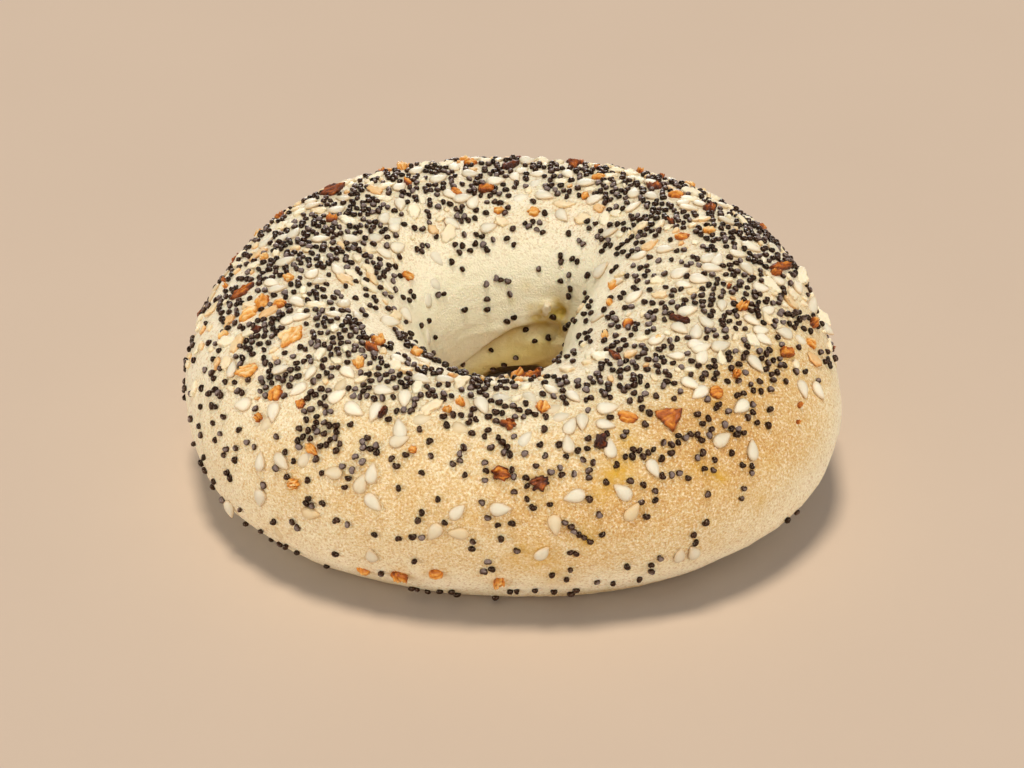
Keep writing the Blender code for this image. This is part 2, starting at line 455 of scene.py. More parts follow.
# A plain ring of faces, with each corner then moved to its place on the dough
def makeDough():
    ringRadius, tubeRadius = 30 * mm, 10 * mm
    upright = Matrix.Translation((ringRadius, 0, 0)) @ Matrix.Rotation(math.radians(90), 4, "X")
    bm = bmesh.new()
    bmesh.ops.create_circle(bm, segments=dough["tubeFaces"], radius=tubeRadius, matrix=upright)
    bmesh.ops.spin(
        bm, geom=bm.verts[:] + bm.edges[:], axis=(0, 0, 1), cent=(0, 0, 0),
        steps=dough["ringFaces"], angle=math.tau, use_merge=True,
    )
    browning, hollow, deep, crease = [], [], [], []
    for vert in bm.verts:
        x, y, z = vert.co
        ring = math.degrees(math.atan2(y, x)) % 360
        tube = math.atan2(z, math.hypot(x, y) - ringRadius)
        tube = math.degrees(tube + dough["holeCrowding"] * math.sin(tube))
        vert.co = skinPoint(ring, tube)
        browning.append(toastAt(ring, tube, vert.co.z))
        hollow.append(smooth((-cosine(tube) - toast["holeStart"]) * toast["holeGain"]))
        deep.append(deepAt(ring, tube % 360))
        crease.append(paintedCreaseShade(ring, tube % 360))
    bmesh.ops.recalc_face_normals(bm, faces=bm.faces)
    tree = BVHTree.FromBMesh(bm)
    mesh = bpy.data.meshes.new("dough")
    bm.to_mesh(mesh)
    bm.free()
    for name, values in (("toast", browning), ("hollow", hollow), ("deep", deep), ("crease", crease)):
        addValues(mesh, name, values)
    return addObject("dough", mesh, doughMaterial()), tree


def doughMaterial():
    material, tree, shader = newMaterial("baked dough")
    patches = noiseTexture(tree, 10, 2)
    mottle = noiseTexture(tree, 2.0, 3)
    grain = noiseTexture(tree, 0.32, 2, 0.65)
    brown = attributeValue(tree, "toast")
    shade = stirred(tree, stirred(tree, brown, patches, 0.35), mottle, 0.4)
    grainy = math2(tree, "ADD", math2(tree, "MULTIPLY", brown, 1.1), 1.0)  # brown dough is grainier
    shade = stirred(tree, shade, grain, grainy)
    colour = ramp(tree, math2(tree, "MULTIPLY", shade, 0.625), [  # the shade goes up to 1.6
        (0.0, srgb(245, 231, 199)), (0.16, srgb(233, 215, 175)), (0.31, srgb(223, 196, 147)),
        (0.47, srgb(212, 173, 110)), (0.625, srgb(200, 150, 80)), (1.0, srgb(156, 100, 42)),
    ])
    specks = ramp(tree, noiseTexture(tree, 0.38, 1), [(0.56, 0.0), (0.66, 0.5)])
    colour = mixColour(tree, specks, colour, srgb(252, 236, 204))
    pores = ramp(tree, noiseTexture(tree, 0.42, 1), [(0.34, 0.5), (0.44, 0.0)])
    colour = mixColour(tree, pores, colour, srgb(192, 140, 80))
    # The hole is made paler: partly its own paler dough, partly painted light that lightens the shade in it
    hollow = math2(tree, "MULTIPLY", attributeValue(tree, "hollow"), 0.86)
    colour = mixColour(tree, hollow, colour, srgb(253, 240, 203))
    # Painted warm light: the shaded depth of the hole is painted yellow and light
    deep = math2(tree, "MULTIPLY", attributeValue(tree, "deep"), 0.75)
    colour = mixColour(tree, deep, colour, srgb(255, 234, 146))
    uneven = ramp(tree, mottle, [(0.35, 0.5), (0.6, 1.0)])
    # Golden stains, and painted shade at the hole's recess and low in the hole
    stainAndShade = math2(tree, "MULTIPLY", attributeValue(tree, "stainAndShade"), uneven)
    golden = mixColour(tree, hollow, srgb(208, 156, 30), srgb(216, 184, 56))
    colour = mixColour(tree, stainAndShade, colour, golden)
    # Painted shade in the crease and in the cleft at the foot of the hole's wall
    crease = attributeValue(tree, "crease")
    inCrease = ramp(tree, crease, [(0.76, srgb(180, 138, 48)), (0.95, srgb(84, 58, 26))])
    colour = mixColour(tree, math2(tree, "MULTIPLY", crease, 0.95), colour, inCrease)
    setSurface(tree, shader, colour, 0.6, 0.3, under=0.1, depth=1.2, spread=(1.0, 0.5, 0.25))
    bump(tree, shader, [(mottle, 0.35, 0.5), (grain, 0.8, 0.3)])
    return material


doughPiece, skin = makeDough()
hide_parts("bagel")
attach(doughPiece, "root")
print("dough made:", len(doughPiece.data.polygons), "faces")


# Seats for the toppings
seats = {
    "handLine": [  # photo line below which every topping that shows is placed one by one
        (150, 398), (390, 402), (410, 419), (555, 418), (575, 388), (700, 384), (718, 366), (900, 366),
    ],
    "handTube": 134,  # so is all that shows in the hole, from this tube angle on
    "behind": -0.45,  # and what lies just behind the outline, up to this cosine to the camera
    "standBelow": 0.35,  # pieces that face the camera less than this stand up, by the lean and the lift
    "standLean": 0.8,
    "standLift": 0.22,
    "flatBall": 0.47,  # radius of the balls that a flat piece takes up, in its widths
    "lowest": 2.0,
    "outerEdge": -10,  # tube angles between which the larger toppings lie, and how soft both ends are
    "outerFade": 70,
    "innerEdge": 150,
    "innerFade": 40,
    "leastShare": 0.1,
}


# Remembers which balls of space are taken, so that toppings don't pass through each other
class Room:
    def __init__(self):
        self.cell = 3.0 * mm
        self.held = {}

    def key(self, point):
        return tuple(math.floor(part / self.cell) for part in point)

    def free(self, point, radius):
        x, y, z = self.key(point)
        for i in (x - 1, x, x + 1):
            for j in (y - 1, y, y + 1):
                for k in (z - 1, z, z + 1):
                    for other, otherRadius in self.held.get((i, j, k), ()):
                        if (point - other).length < radius + otherRadius:
                            return False
        return True

    def take(self, point, radius):
        self.held.setdefault(self.key(point), []).append((point, radius))


# A point of the skin and the way it faces there
def skinSeat(ring, tube):
    point = skinPoint(ring, tube)
    step = 1.2
    alongRing = skinPoint(ring + step, tube) - skinPoint(ring - step, tube)
    roundTube = skinPoint(ring, tube + step) - skinPoint(ring, tube - step)
    return point, alongRing.cross(roundTube).normalized()


# Where a pixel's ray meets the dough. A pixel just outside the outline moves in until it does.
def photoSeat(x, y):
    point = None
    while point is None:
        point, normal, face, distance = skin.ray_cast(eye, pixelRay(x, y))
        x += (view["width"] / 2 - x) * 0.005
        y += (view["height"] / 2 - y) * 0.005
    return point, normal


# The direction along the skin that the photo shows at this turn
def photoHeading(normal, turn):
    flat = viewRight * cosine(turn) + viewUp * sine(turn)
    facing = max(viewBack.dot(normal), 0.25)
    return (flat - viewBack * (flat.dot(normal) / facing)).normalized()


def anyHeading(normal, draw):
    turn = draw.uniform(0, math.tau)
    side = normal.orthogonal().normalized()
    return side * math.cos(turn) + normal.cross(side) * math.sin(turn)


# Places a mould with its X along the heading and its Z out of the skin
def lying(point, normal, heading, lift, tip=0.0, roll=0.0, scale=1.0):
    forward = (heading - normal * heading.dot(normal)).normalized()
    across = normal.cross(forward)
    turned = Matrix((forward, across, normal)).transposed().to_4x4()
    lean = Matrix.Rotation(math.radians(tip), 4, "Y") @ Matrix.Rotation(math.radians(roll), 4, "X")
    return Matrix.Translation(point + normal * lift) @ turned @ lean @ Matrix.Scale(scale, 4)


# Flat pieces on the outline stand up from the skin, so that the photo shows their faces. Returns the way
# that the piece faces and how far it is lifted for that, in millimetres.
def standing(normal, width):
    if viewBack.dot(normal) > seats["standBelow"]:
        return normal, 0.0
    return (normal + viewBack * seats["standLean"]).normalized(), width * seats["standLift"]


# A topping's material: a ramp over the tint of each piece, stirred by flecks and changed at the rim, which on
# poppy seeds paints a highlight and shade and on sesame seeds paints shade
def toppingMaterial(name, kind):
    material, tree, shader = newMaterial(name)
    rim = attributeValue(tree, "rim")
    flecks = noiseTexture(tree, *kind["fleckSize"])
    shade = stirred(tree, attributeValue(tree, "tint"), flecks, kind["flecks"])
    if "rimShade" in kind:
        shade = stirred(tree, shade, rim, kind["rimShade"])
    colour = ramp(tree, shade, kind["colours"])
    if "rimColour" in kind:
        amount, rimColour = kind["rimColour"]
        colour = mixColour(tree, math2(tree, "MULTIPLY", rim, amount), colour, rimColour)
    setSurface(tree, shader, colour, **kind["surface"])
    bump(tree, shader, [(noiseTexture(tree, *size), *relief) for size, *relief in kind["relief"]])
    return material


# Joins many copies of a few moulds into one mesh
class Heap:
    def __init__(self):
        self.points, self.faces, self.tint, self.rim = [], [], [], []

    def add(self, mould, place, tint):
        start = len(self.points)
        points, faces, rim = mould
        self.points.extend((place @ point)[:] for point in points)
        self.faces.extend(tuple(start + index for index in face) for face in faces)
        self.tint.extend([tint] * len(points))
        self.rim.extend(rim)

    def piece(self, name, material, slot):
        mesh = bpy.data.meshes.new(name)
        mesh.from_pydata(self.points, [], self.faces)
        addValues(mesh, "tint", self.tint)
        addValues(mesh, "rim", self.rim)
        made = addObject(name, mesh, material)
        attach(made, "root")
        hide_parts("bagel")
        print(name, "made:", len(mesh.polygons), "faces")
        return made


# A place of its own in the noise for each mould
def anyNook(draw):
    return Vector((draw.uniform(0, 90), draw.uniform(0, 90), draw.uniform(0, 90)))


# Points, faces and a value from 0 (middle) to 1 (rim) for each point
def mouldOf(bm, rimOf):
    bmesh.ops.recalc_face_normals(bm, faces=bm.faces)
    bm.verts.index_update()
    mould = (
        [vert.co.copy() for vert in bm.verts],
        [tuple(vert.index for vert in face.verts) for face in bm.faces],
        [rimOf(vert) for vert in bm.verts],
    )
    bm.free()
    return mould


# Golden stains, those that the photo shows and strays all round; those at the hole's recess and low in the
# hole are painted shade
def paintStainsAndShade():
    draw = random.Random(toast["seed"])
    mesh = doughPiece.data
    near = KDTree(len(mesh.vertices))
    for vert in mesh.vertices:
        near.insert(vert.co, vert.index)
    near.balance()
    spots = [(photoSeat(x, y)[0], across * mm, strength) for x, y, across, strength in toast["stainsAndShade"]]
    for stray in range(toast["strayStains"]):
        point = skinPoint(draw.uniform(0, 360), draw.uniform(*toast["strayTubes"]))
        spots.append((point, draw.uniform(*toast["straySizes"]) * mm, draw.uniform(*toast["strayStrengths"])))
    stainAndShade = [0.0] * len(mesh.vertices)
    for centre, across, strength in spots:
        for point, index, distance in near.find_range(centre, across * toast["stainReach"]):
            ragged = 1 + toast["stainUneven"] * noise.noise(point / (toast["stainGrain"] * mm))
            added = strength * bell(distance, across * toast["stainWidth"] * ragged)
            stainAndShade[index] = min(toast["strongest"], stainAndShade[index] + added)
    addValues(mesh, "stainAndShade", stainAndShade)


room = Room()
paintStainsAndShade()


def facesCamera(point, normal, least=0.0):
    return normal.dot((eye - point).normalized()) > least


# Whether this is where toppings are only placed one by one
def placedByHand(point, normal, tube):
    if tube > seats["handTube"] and facesCamera(point, normal):
        return True
    if not facesCamera(point, normal, seats["behind"]):
        return False
    x, y = photoPlace(point)
    line = seats["handLine"]
    for (leftX, leftY), (rightX, rightY) in zip(line, line[1:]):
        if leftX <= x < rightX:
            return y > leftY + (rightY - leftY) * (x - leftX) / (rightX - leftX)
    return False


# About how far the skin lies from the bagel's axis, in millimetres: from 51 outside to 13 in the hole
def reachAt(tube):
    return 32 + 19 * cosine(tube)


# How thickly the larger toppings lie, from 0 to 1, for each bit of skin
def toppingShare(tube):
    outside = smooth((tube - seats["outerEdge"]) / seats["outerFade"])
    inside = smooth((seats["innerEdge"] - tube) / seats["innerFade"])
    least = seats["leastShare"]
    return (least + (1 - least) * outside * inside) * reachAt(tube) / reachAt(0)


# Random seats of a kind, each with room for a ball. Most pieces that the photo shows are placed one by one,
# so only a share of these faces the camera.
def looseSeats(kind, draw):
    found = 0
    while found < kind["count"]:
        ring, tube = draw.uniform(0, 360), draw.uniform(*kind["tubes"])
        if draw.random() > toppingShare(tube):
            continue
        point, normal = skinSeat(ring, tube)
        if facesCamera(point, normal) and draw.random() > kind["shown"]:
            continue
        free = point.z > seats["lowest"] * mm and room.free(point, kind["room"] * mm)
        if free and not placedByHand(point, normal, tube):
            found += 1
            yield point, normal


# Takes the room of something flat, as three balls in a row
def takeFlat(point, heading, length, width):
    reach = max(0.0, (length - width) / 2) * mm
    for share in (-1, 0, 1):
        room.take(point + heading * reach * share, width * seats["flatBall"] * mm)


# Onion flakes
onion = {
    "seed": 11,
    "lift": 0.22,
    "grown": 1.17,  # how much larger a placed flake is made, because its rim sinks into the dough
    "count": 70,
    "room": 1.0,
    "tubes": (-20, 150),
    "shown": 0.1,
    "smallest": 1.1,
    "largest": 2.6,
    "lean": 14,
    "shapes": {  # corners, how thick, edge unevenness, curl, ridges, crumples
        "chip": (4, 0.75, 0.2, 0.3, 0.75, 0.5),
        "wedge": (3, 0.9, 0.16, 0.2, 0.9, 0.4),
        "shell": (0, 0.9, 0.22, -0.8, 0.5, 0.5),
        "blob": (0, 1.1, 0.34, 0.1, 0.5, 0.9),
        "bead": (0, 1.4, 0.1, 0.0, 0.1, 0.25),
        "stick": (0, 1.0, 0.2, 0.3, 0.6, 0.6),
    },
    "colours": [
        (0.0, srgb(236, 202, 146)), (0.2, srgb(226, 170, 94)), (0.38, srgb(212, 134, 44)),
        (0.58, srgb(170, 88, 28)), (0.78, srgb(112, 52, 20)), (1.0, srgb(60, 28, 16)),
    ],
    "fleckSize": (0.8, 3),
    "flecks": 0.5,
    "rimShade": -0.34,
    "surface": {"roughness": 0.4, "specular": 0.25, "under": 0.12, "depth": 0.6, "spread": (1.0, 0.4, 0.15)},
    "relief": [((0.8, 3), 0.5, 0.2), ((0.35, 2), 0.6, 0.14)],
    "placed": [  # photo place, length, width, turn in the photo, shape, tint
        (244, 292, 3.6, 2.4, 35, "chip", 0.6), (262, 302, 3.0, 2.2, 75, "shell", 0.34),
        (248, 315, 3.2, 2.1, 30, "shell", 0.2), (280, 305, 1.9, 1.7, 0, "bead", 0.36),
        (293, 337, 4.7, 4.0, 50, "chip", 0.14), (249, 371, 3.6, 2.2, 15, "chip", 0.2),
        (378, 342, 2.0, 1.4, 20, "blob", 0.4), (371, 349, 2.0, 1.4, -50, "blob", 0.6),
        (276, 394, 2.2, 1.9, 80, "shell", 0.38), (289, 279, 1.7, 1.4, 0, "chip", 0.22),
        (265, 258, 1.8, 1.5, 0, "chip", 0.16), (301, 404, 1.4, 1.2, 60, "shell", 0.5),
        (334, 193, 3.8, 2.2, 25, "chip", 0.8), (402, 168, 2.6, 1.5, 110, "shell", 0.3),
        (470, 164, 2.0, 1.3, 0, "shell", 0.34), (510, 167, 3.4, 1.7, 35, "stick", 0.9),
        (573, 167, 2.4, 1.9, -50, "chip", 0.7), (456, 193, 2.2, 1.4, -25, "chip", 0.45),
        (485, 190, 2.2, 1.4, 10, "blob", 0.55), (499, 211, 1.6, 1.1, 0, "shell", 0.3),
        (534, 212, 1.8, 1.5, 0, "shell", 0.28), (407, 276, 2.9, 1.8, -12, "chip", 0.3),
        (599, 178, 2.2, 1.3, 0, "shell", 0.36), (654, 188, 2.2, 1.4, -10, "blob", 0.7),
        (676, 196, 2.3, 2.0, 0, "bead", 0.34), (709, 210, 1.8, 1.5, 70, "blob", 0.72),
        (682, 238, 2.6, 1.7, 10, "chip", 0.42), (708, 232, 2.2, 1.5, 0, "chip", 0.16),
        (780, 268, 4.8, 1.2, 5, "stick", 0.66), (775, 274, 1.8, 0.9, 0, "stick", 0.6),
        (672, 223, 1.6, 0.7, -30, "stick", 0.75), (742, 308, 1.8, 1.2, 50, "blob", 0.42),
        (680, 321, 2.8, 0.9, -15, "stick", 0.9), (812, 324, 1.8, 1.2, 60, "blob", 0.5),
        (811, 344, 1.8, 1.3, -40, "shell", 0.26), (785, 353, 2.4, 1.5, -15, "blob", 0.52),
        (616, 357, 2.9, 1.3, -35, "chip", 0.75), (520, 374, 3.2, 1.4, 55, "shell", 0.4),
        (533, 378, 2.2, 1.4, 20, "blob", 0.62), (415, 354, 1.7, 1.6, 0, "chip", 0.2),
        (542, 408, 2.2, 1.9, 80, "chip", 0.26), (509, 425, 1.8, 1.6, -20, "blob", 0.58),
        (716, 393, 1.8, 1.8, 0, "bead", 0.42), (670, 418, 4.7, 4.2, 35, "wedge", 0.56),
        (628, 418, 2.9, 1.7, -10, "shell", 0.45), (600, 443, 2.0, 1.7, 60, "blob", 0.95),
        (500, 474, 2.5, 1.7, 0, "blob", 0.64), (540, 483, 2.2, 1.8, 20, "blob", 0.82),
        (436, 573, 1.9, 1.7, 0, "bead", 0.32), (401, 575, 2.4, 1.4, -30, "blob", 0.4),
        (499, 581, 1.7, 1.4, 60, "blob", 0.26), (364, 570, 1.8, 1.0, -20, "shell", 0.3),
        (413, 450, 1.1, 1.0, 0, "bead", 0.32), (312, 449, 2.4, 1.2, -40, "chip", 0.28),
        (295, 484, 1.6, 1.4, 0, "blob", 0.22), (260, 418, 1.2, 0.9, 60, "blob", 0.34),
        (384, 413, 1.6, 0.9, 50, "blob", 0.86), (797, 422, 0.6, 0.4, 80, "shell", 0.5),
        (799, 405, 1.1, 0.6, 60, "shell", 0.56), (736, 375, 1.3, 0.9, 40, "blob", 0.38),
        (460, 403, 1.4, 0.9, -40, "blob", 0.26), (448, 411, 1.0, 0.8, 0, "blob", 0.28),
    ],
}


# An uneven chip lying along X: a ball pressed flat, with its outline drawn in between the corners, ridges
# along it and crumples all over. The rim value is low in its grooves and at its edge.
def flakeMould(length, width, shape, draw, fineness=3):
    corners, thick, uneven, curl, ridge, crumple = onion["shapes"][shape]
    bm = bmesh.new()
    bmesh.ops.create_icosphere(bm, subdivisions=fineness, radius=1)
    ridgeLayer = bm.verts.layers.float.new("ridge")
    nook = anyNook(draw)
    reach = [draw.uniform(0.8, 1.2) for corner in range(corners + 1)]
    for vert in bm.verts:
        x, y, z = vert.co
        angle = math.atan2(y, x) % math.tau
        outline = 1 + 1.6 * uneven * noise.noise(Vector((math.cos(angle), math.sin(angle), 0)) * 1.6 + nook)
        outline += 0.5 * uneven * noise.noise(Vector((math.cos(angle), math.sin(angle), 0)) * 4.5 + nook)
        if corners:
            part, along = divmod(angle / math.tau * corners, 1)
            start, end = reach[int(part)], reach[(int(part) + 1) % corners]
            half = math.pi / corners
            straight = math.cos(half) / math.cos((along - 0.5) * 2 * half)
            outline *= (start + (end - start) * along) * (0.25 + 0.75 * straight)
        edge = smooth((math.hypot(x, y) - 0.72) * 4)
        flat = max(-0.45, min(0.45, z)) / 0.9 * (1 - 0.3 * edge) if shape != "bead" else z / 2
        groove = noise.noise(Vector((x * 0.8, y * 3.8, 0)) + nook)
        dent = noise.noise(Vector((x, y, z)) * 1.9 + nook) + 0.5 * noise.noise(Vector((x, y, z)) * 4.3 + nook)
        swell = (groove * ridge + dent * crumple) * 0.6 + curl * (x * x * 0.5 + y * y * 0.25)
        place = Vector((x * outline * length / 2, y * outline * width / 2, (flat + swell) * thick))
        vert.co = place * mm
        vert[ridgeLayer] = 0.5 + groove + 0.3 * dent - 0.5 * edge
    return mouldOf(bm, lambda vert: vert[ridgeLayer])


def makeOnion():
    draw = random.Random(onion["seed"])
    heap = Heap()
    for x, y, length, width, turn, shape, tint in onion["placed"]:
        length, width = length * onion["grown"], width * onion["grown"]
        point, normal = photoSeat(x, y)
        facing, lifted = standing(normal, width)
        heading = photoHeading(facing, turn)
        takeFlat(point, heading, length, width)
        mould = flakeMould(length, width, shape, draw, 4)
        heap.add(mould, lying(point, facing, heading, (onion["lift"] + lifted) * mm), tint)
    for point, normal in looseSeats(onion, draw):
        length = draw.uniform(onion["smallest"], onion["largest"])
        width = length * draw.uniform(0.5, 0.9)
        heading = anyHeading(normal, draw)
        takeFlat(point, heading, length, width)
        place = lying(point, normal, heading, onion["lift"] * mm, draw.uniform(-onion["lean"], onion["lean"]))
        shape = draw.choice(list(onion["shapes"]))
        heap.add(flakeMould(length, width, shape, draw), place, 0.1 + 0.85 * draw.random() ** 1.4)
    return heap.piece("onionFlakes", toppingMaterial("toasted onion", onion), "onion_flake")


makeOnion()


# Sesame seeds
sesame = {
    "seed": 23,
    "length": 3.05,
    "width": 1.92,
    "height": 0.92,
    "sunk": 0.26,
    "ghostSunk": 0.78,
    "count": 130,
    "room": 1.1,
    "tubes": (-35, 160),
    "shown": 0.12,
    "spread": 0.1,  # how much the sizes differ
    "frontLine": 425,  # in the photo, seeds below this are browner
    "frontTint": 0.36,
    "backLine": 345,  # and ghosts above this are paler
    "backTint": 0.3,
    "colours": [
        (0.0, srgb(234, 221, 192)), (0.45, srgb(214, 202, 175)), (0.85, srgb(214, 188, 142)),
        (1.0, srgb(206, 168, 112)),
    ],
    "fleckSize": (1.4, 2),
    "flecks": 0.3,
    # The tan on the low sides is partly the seed's own edge and partly painted shade
    "rimColour": (0.6, srgb(196, 152, 90)),
    "surface": {"roughness": 0.45, "specular": 0.35, "under": 0.12, "depth": 0.7, "spread": (1.0, 0.6, 0.3)},
    "relief": [((0.5, 2), 0.2, 0.1)],
    "placed": [  # photo place and the turn of the pointed end in the photo
        # low in front
        (457, 512, 45), (500, 509, 0), (435, 531, 235), (459, 533, 180), (555, 524, 280), (575, 496, 195),
        (623, 492, 140), (632, 512, 55), (542, 553, 50), (653, 468, 300), (568, 445, 100), (582, 422, 268),
        (570, 427, 60), (607, 409, 10), (605, 425, 350), (610, 449, 95), (679, 555, 80), (693, 552, 120),
        (721, 440, 35), (752, 451, 92), (741, 407, 215), (690, 384, 330), (700, 393, 215), (573, 397, 320),
        (482, 406, 300), (802, 389, 285), (817, 391, 305), (702, 358, 60), (701, 349, 15),
        # left
        (261, 462, 85), (282, 461, 312), (261, 497, 260), (334, 473, 180), (361, 484, 70), (372, 474, 80),
        (373, 502, 315), (311, 513, 350), (372, 555, 100), (229, 508, 280), (274, 412, 265),
        (244, 405, 190), (354, 410, 330), (376, 412, 245), (337, 397, 30), (400, 430, 100), (399, 441, 20),
        (233, 370, 85), (281, 370, 15), (348, 373, 320), (312, 275, 40), (337, 271, 135), (277, 290, 10),
        (297, 303, 330), (289, 321, 20), (300, 318, 10), (272, 284, 350), (313, 207, 15), (337, 211, 20),
        (395, 223, 30), (384, 219, 60), (351, 240, 0), (320, 240, 10), (283, 239, 30), (266, 244, 40),
        (285, 263, 20), (294, 235, 50), (398, 360, 330), (421, 380, 340), (388, 324, 350), (404, 316, 300),
        # back
        (454, 168, 100), (438, 180, 15), (470, 175, 350), (495, 182, 5), (515, 178, 300), (568, 175, 320),
        (585, 184, 355), (400, 188, 40), (400, 205, 280), (450, 195, 325), (462, 199, 10), (473, 203, 60),
        (452, 224, 330), (397, 248, 20), (394, 227, 80), (488, 228, 20), (544, 196, 345), (562, 216, 310),
        (527, 163, 0), (417, 172, 30), (652, 184, 340), (700, 205, 330), (595, 200, 20), (586, 183, 0),
        (634, 194, 80), (652, 197, 330), (633, 208, 30), (610, 233, 20),
        # right
        (688, 209, 350), (726, 222, 340), (665, 250, 0), (708, 259, 30), (717, 261, 60), (737, 255, 350),
        (750, 248, 335), (747, 270, 300), (711, 269, 350), (699, 280, 350), (617, 283, 10), (602, 272, 50),
        (634, 298, 30), (760, 289, 350), (778, 282, 10), (797, 288, 60), (810, 307, 80), (824, 330, 320),
        (687, 312, 15), (706, 323, 145), (751, 321, 325), (760, 331, 0), (784, 334, 170), (763, 340, 325),
        (680, 329, 325), (696, 333, 75), (657, 341, 25), (697, 346, 345), (720, 347, 15), (755, 364, 310),
        (680, 274, 20),
    ],
    "ghosts": [  # seeds that the dough has nearly closed over
        (464, 402, 315), (501, 397, 0), (530, 397, 330), (554, 408, 20), (561, 416, 10), (422, 419, 10),
        (304, 459, 50), (279, 534, 110), (265, 425, 225), (524, 439, 45), (436, 285, 320), (428, 336, 95),
        (460, 428, 340), (802, 340, 340), (437, 258, 310), (341, 385, 60), (520, 198, 20), (536, 183, 30),
        (428, 299, 90),
    ],
}


# A plump drop lying along X, pointed towards +X
def sesameMould(draw):
    bm = bmesh.new()
    upended = Matrix.Rotation(math.radians(90), 4, "Y")
    bmesh.ops.create_uvsphere(bm, u_segments=10, v_segments=7, radius=1, matrix=upended)
    blunt = draw.uniform(0.24, 0.34)
    bend = draw.uniform(-0.08, 0.08)
    for vert in bm.verts:
        x, y, z = vert.co
        slim = 1.06 - blunt * x - 0.22 * max(0.0, x) ** 2
        vert.co.x = (x + 0.17 * max(0.0, x) ** 4) * sesame["length"] / 2 * mm
        vert.co.y = (y * slim + bend * x * x) * sesame["width"] / 2 * mm
        vert.co.z = z * (0.7 + 0.3 * slim) * sesame["height"] / 2 * mm
    # The rim value grows down the sides, for the tan that is partly painted shade
    half = sesame["height"] / 2 * mm
    return mouldOf(bm, lambda vert: 1 - smooth((vert.co.z / half - 0.12) * 1.5))


def makeSesame():
    draw = random.Random(sesame["seed"])
    moulds = [sesameMould(draw) for kind in range(6)]
    heap = Heap()

    def lay(point, normal, heading, size, tint, sunk, lifted=0.0):
        takeFlat(point, heading, sesame["length"] * size, sesame["width"] * size)
        lift = (sesame["height"] * (0.5 - sunk) * size + lifted) * mm
        place = lying(point, normal, heading, lift, draw.uniform(-5, 5), draw.uniform(-9, 9), size)
        heap.add(draw.choice(moulds), place, tint)

    spread = sesame["spread"]
    for x, y, turn in sesame["placed"]:
        point, normal = photoSeat(x, y)
        size = draw.uniform(1 - spread, 1 + 0.6 * spread)
        tint = 0.5 * draw.random() ** 2 + sesame["frontTint"] * (y > sesame["frontLine"])
        facing, lifted = standing(normal, sesame["width"])
        lay(point, facing, photoHeading(facing, turn), size, tint, sesame["sunk"], lifted)
    for x, y, turn in sesame["ghosts"]:
        point, normal = photoSeat(x, y)
        tint = draw.uniform(0.3, 0.9) * (sesame["backTint"] if y < sesame["backLine"] else 1.0)
        lay(point, normal, photoHeading(normal, turn), 1.0, tint, sesame["ghostSunk"])
    for point, normal in looseSeats(sesame, draw):
        size = draw.uniform(1 - 2 * spread, 1 + 0.6 * spread)
        tint = 0.7 * draw.random() ** 2
        lay(point, normal, anyHeading(normal, draw), size, tint, sesame["sunk"] + draw.uniform(0, 0.2))
    return heap.piece("sesameSeeds", toppingMaterial("sesame", sesame), "sesame_seed")


makeSesame()


# Garlic bits
garlic = {
    "seed": 37,
    "lift": 0.12,
    "count": 290,
    "room": 0.75,
    "tubes": (-30, 160),
    "shown": 0.8,
    "smallest": 0.9,
    "largest": 3.4,
    "plain": 2.0,  # shorter ones have fewer faces
    "colours": [
        (0.0, srgb(236, 220, 184)), (0.5, srgb(230, 202, 154)), (0.8, srgb(222, 172, 108)),
        (1.0, srgb(204, 136, 66)),
    ],
    "fleckSize": (0.9, 2),
    "flecks": 0.35,
    "rimShade": 0.25,
    "surface": {"roughness": 0.5, "under": 0.15, "depth": 0.7, "spread": (1.0, 0.6, 0.3)},
    "relief": [((0.9, 2), 0.3, 0.15)],
    "placed": [  # photo place, length, turn in the photo, tint
        (348, 221, 3.4, 340, 0.0), (316, 306, 3.2, 350, 0.3), (236, 253, 2.2, 60, 0.1),
        (247, 335, 2.2, 20, 0.2), (546, 309, 2.2, 80, 0.1), (810, 275, 3.0, 80, 0.0),
        (832, 318, 3.0, 100, 0.1), (376, 178, 2.4, 20, 0.1), (446, 166, 2.6, 20, 0.0),
        (543, 163, 2.6, 0, 0.1), (616, 172, 2.2, 0, 0.2), (640, 181, 2.4, 340, 0.1),
        (690, 194, 2.6, 330, 0.1), (300, 213, 2.6, 40, 0.0), (282, 226, 2.4, 50, 0.2),
        (195, 390, 2.4, 90, 0.1), (486, 162, 2.4, 0, 0.0), (741, 222, 2.4, 320, 0.2),
        (424, 167, 2.0, 30, 0.1), (693, 292, 2.0, 20, 0.5), (502, 222, 2.4, 0, 0.5),
        (440, 220, 1.8, 20, 0.4), (582, 219, 2.8, 20, 0.5), (395, 317, 2.4, 20, 0.5),
        (660, 226, 2.0, 30, 0.3), (708, 198, 1.4, 80, 0.7), (760, 244, 1.6, 70, 0.6),
        (527, 381, 1.4, 350, 0.3), (493, 385, 1.2, 10, 0.1),
    ],
}


# A flat crumb lying along X: a small ball with uneven swellings, pressed down
def garlicMould(length, draw):
    bm = bmesh.new()
    fineness = 2 if length < garlic["plain"] else 3
    bmesh.ops.create_icosphere(bm, subdivisions=fineness, radius=0.5)
    nook = anyNook(draw)
    wide = draw.uniform(0.45, 0.8)
    high = draw.uniform(0.55, 0.95)
    for vert in bm.verts:
        x, y, z = vert.co
        spot = Vector((x, y, z * 0.6)).normalized()
        swell = 1 + 0.55 * noise.noise(spot * 1.4 + nook) + 0.25 * noise.noise(spot * 3.6 + nook)
        dent = 0.25 * noise.noise(spot * 2.6 + nook)
        flat = max(-0.3, min(0.3, z)) / 0.6 + dent * (z > 0)
        vert.co = Vector((x * swell * length, y * swell * wide * length, flat * high)) * mm
    top = max(vert.co.z for vert in bm.verts)
    return mouldOf(bm, lambda vert: 1 - smooth(vert.co.z / top * 1.4))


